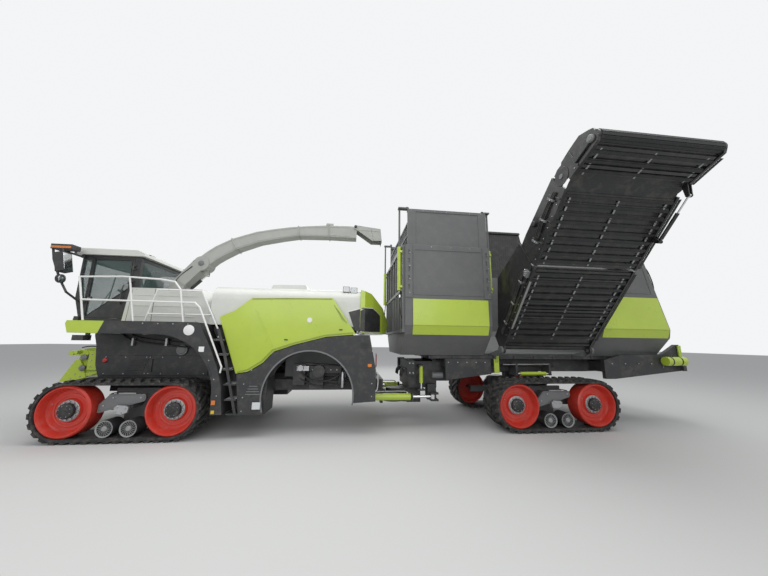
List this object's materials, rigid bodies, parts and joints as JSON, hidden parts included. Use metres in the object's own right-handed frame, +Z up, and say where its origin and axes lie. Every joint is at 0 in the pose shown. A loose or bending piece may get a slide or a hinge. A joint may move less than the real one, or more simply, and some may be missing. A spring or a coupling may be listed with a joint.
{
  "type": "articulated bunker forage harvester on rubber tracks",
  "caption": "Forage harvester with rubber track units, a high spout and, hinged behind it, a high-sided crop bunker with a folding unloading elevator.",
  "frame": {"origin": "On the ground, on the centre plane, midway between the big wheels of the front track units.", "axes": "+X points forward along the machine, +Y to its left, +Z up."},
  "size_m": [14.2218, 5.8677, 5.6205],
  "materials": {
    "chassis_paint": "satin",
    "housing_paint": "satin",
    "lime_paint": "gloss",
    "light_grey_paint": "gloss",
    "bunker_grey": "satin",
    "spout_paint": "satin",
    "rim_red": "satin",
    "cast_grey": "matte",
    "dark_plastic": "matte",
    "track_rubber": "matte",
    "cab_glass": "gloss",
    "white_tube": "gloss",
    "rod_chrome": "polished",
    "machinery_grey": "brushed",
    "seat_fabric": "woven",
    "black_paint": "gloss"
  },
  "bodies": {
    "harvester": {"main_frame": "chassis_paint", "drum_housing": "housing_paint", "intake_housing": "lime_paint", "engine": "cast_grey", "cab_body": "housing_paint", "cab_roof": "light_grey_paint", "cab_glass": "cab_glass", "operator_station": "seat_fabric", "mirrors": "dark_plastic", "fenders": "dark_plastic", "fender_tips": "lime_paint", "guard_rails": "white_tube", "ladder": "chassis_paint", "side_covers": "light_grey_paint", "hood_top": "light_grey_paint", "tail_hood": "lime_paint", "lower_body": "dark_plastic", "arch_machinery": "chassis_paint", "pivot_casting": "chassis_paint", "front_axle": "chassis_paint", "front_track_frames": "cast_grey", "front_wheels": "rim_red", "front_rollers": "dark_plastic", "front_belt_left": "track_rubber", "front_belt_right": "track_rubber"},
    "bunker": {"bunker_chassis": "chassis_paint", "rear_axle": "chassis_paint", "rear_track_frames": "cast_grey", "rear_wheels": "rim_red", "rear_rollers": "dark_plastic", "rear_belt_left": "track_rubber", "rear_belt_right": "track_rubber", "bunker_walls": "bunker_grey", "bunker_bands": "lime_paint", "bunker_floor": "chassis_paint", "lift_barrels": "lime_paint", "tail_tanks": "lime_paint", "backboard": "black_paint"},
    "feed_roller_upper": {"feed_roller_upper": "machinery_grey"},
    "feed_roller_lower": {"feed_roller_lower": "machinery_grey"},
    "turret": {"turret": "spout_paint"},
    "spout": {"spout": "spout_paint"},
    "spout_barrel": {"spout_barrel": "black_paint"},
    "spout_rod": {"spout_rod": "rod_chrome"},
    "cab_door": {"cab_door": "housing_paint"},
    "left_side_panel": {"left_side_panel": "lime_paint"},
    "right_side_panel": {"right_side_panel": "lime_paint"},
    "steer_barrel_left": {"steer_barrel_left": "lime_paint"},
    "steer_rod_left": {"steer_rod_left": "rod_chrome"},
    "steer_barrel_right": {"steer_barrel_right": "lime_paint"},
    "steer_rod_right": {"steer_rod_right": "rod_chrome"},
    "front_raiser": {"front_raiser": "bunker_grey"},
    "rear_raiser": {"rear_raiser": "bunker_grey"},
    "elevator_lower": {"elevator_lower": "black_paint"},
    "elevator_middle": {"elevator_middle": "black_paint"},
    "elevator_end": {"elevator_end": "black_paint"},
    "tip_barrel": {"tip_barrel": "black_paint"},
    "tip_rod": {"tip_rod": "rod_chrome"},
    "deflector": {"spout_flap": "spout_paint"}
  },
  "joints": [
    {"name": "feed_roller_upper_spin", "type": "hinge", "parent": "harvester", "child": "feed_roller_upper", "pos_m": [1.42, 0, 1.44], "axis": [0, 1, 0], "continuous": true},
    {"name": "feed_roller_lower_spin", "type": "hinge", "parent": "harvester", "child": "feed_roller_lower", "pos_m": [1.42, 0, 1.225], "axis": [0, 1, 0], "continuous": true},
    {"name": "steer", "type": "hinge", "parent": "harvester", "child": "bunker", "pos_m": [-5.25, 0, 0.57], "axis": [0, 0, 1], "range_deg": [-22, 22]},
    {"name": "steer_barrel_left_swing", "type": "hinge", "parent": "harvester", "child": "steer_barrel_left", "pos_m": [-4.43, 0.9, 0.65], "axis": [0, 0, 1], "range_deg": [-15, 15]},
    {"name": "steer_rod_left_slide", "type": "slide", "parent": "steer_barrel_left", "child": "steer_rod_left", "axis": [-1, 0, 0], "range_m": [-0.45, 0.45]},
    {"name": "steer_barrel_right_swing", "type": "hinge", "parent": "harvester", "child": "steer_barrel_right", "pos_m": [-4.43, -0.9, 0.65], "axis": [0, 0, 1], "range_deg": [-15, 15]},
    {"name": "steer_rod_right_slide", "type": "slide", "parent": "steer_barrel_right", "child": "steer_rod_right", "axis": [-1, 0, 0], "range_m": [-0.45, 0.45]},
    {"name": "spout_turn", "type": "hinge", "parent": "harvester", "child": "turret", "pos_m": [0, 0, 2.9], "axis": [0, 0, 1], "range_deg": [-95, 95]},
    {"name": "spout_lift", "type": "hinge", "parent": "turret", "child": "spout", "pos_m": [-0.44, 0, 3.69], "axis": [0, 1, 0], "range_deg": [0, 15]},
    {"name": "spout_barrel_swing", "type": "hinge", "parent": "turret", "child": "spout_barrel", "pos_m": [-0.17, 0, 3.05], "axis": [0, 1, 0], "range_deg": [-6, 6]},
    {"name": "spout_rod_slide", "type": "slide", "parent": "spout_barrel", "child": "spout_rod", "axis": [-0.6877, 0, 0.726], "range_m": [-0.02, 0.1]},
    {"name": "deflector_tilt", "type": "hinge", "parent": "spout", "child": "deflector", "pos_m": [-4.2, 0, 4.87], "axis": [0, 1, 0], "range_deg": [-45, 8]},
    {"name": "cab_door_swing", "type": "hinge", "parent": "harvester", "child": "cab_door", "pos_m": [0.557, 0.902, 2.9], "axis": [0, 0, 1], "range_deg": [0, 36]},
    {"name": "left_side_panel_lift", "type": "hinge", "parent": "harvester", "child": "left_side_panel", "pos_m": [-2.9, 1.268, 2.688], "axis": [1, 0, 0], "range_deg": [0, 60]},
    {"name": "right_side_panel_lift", "type": "hinge", "parent": "harvester", "child": "right_side_panel", "pos_m": [-2.9, -1.268, 2.688], "axis": [-1, 0, 0], "range_deg": [0, 60]},
    {"name": "front_raiser_slide", "type": "slide", "parent": "bunker", "child": "front_raiser", "axis": [0, 0, 1], "range_m": [-0.87, 0]},
    {"name": "rear_raiser_slide", "type": "slide", "parent": "bunker", "child": "rear_raiser", "axis": [0.2588, 0, 0.9659], "range_m": [0, 0.87]},
    {"name": "elevator_swing", "type": "hinge", "parent": "bunker", "child": "elevator_lower", "pos_m": [-8.55, 1.37, 1.7], "axis": [1, 0, 0], "range_deg": [0, 41]},
    {"name": "elevator_fold", "type": "hinge", "parent": "elevator_lower", "child": "elevator_middle", "pos_m": [-8.55, 2.3753, 3.54238], "axis": [1, 0, 0], "range_deg": [0, 90]},
    {"name": "elevator_end_fold", "type": "hinge", "parent": "elevator_middle", "child": "elevator_end", "pos_m": [-8.55, 3.58842, 4.54161], "axis": [1, 0, 0], "range_deg": [-10, 24]},
    {"name": "tip_barrel_swing", "type": "hinge", "parent": "elevator_middle", "child": "tip_barrel", "pos_m": [-9.563, 3.23192, 3.65899], "axis": [1, 0, 0], "range_deg": [-8, 8]},
    {"name": "tip_rod_slide", "type": "slide", "parent": "tip_barrel", "child": "tip_rod", "axis": [0, 0.6789, 0.7343], "range_m": [-0.15, 0.2]}
  ],
  "couplings": [
    {"joint": "steer_barrel_left_swing", "follows": "steer", "ratio": 0.4903},
    {"joint": "steer_rod_left_slide", "follows": "steer", "m_per_rad": 0.8965},
    {"joint": "steer_barrel_right_swing", "follows": "steer", "ratio": 0.4903},
    {"joint": "steer_rod_right_slide", "follows": "steer", "m_per_rad": -0.8965},
    {"joint": "spout_barrel_swing", "follows": "spout_lift", "ratio": -0.1776},
    {"joint": "spout_rod_slide", "follows": "spout_lift", "m_per_rad": 0.2567},
    {"joint": "tip_barrel_swing", "follows": "elevator_end_fold", "ratio": -0.0279},
    {"joint": "tip_rod_slide", "follows": "elevator_end_fold", "m_per_rad": 0.3421}
  ]
}
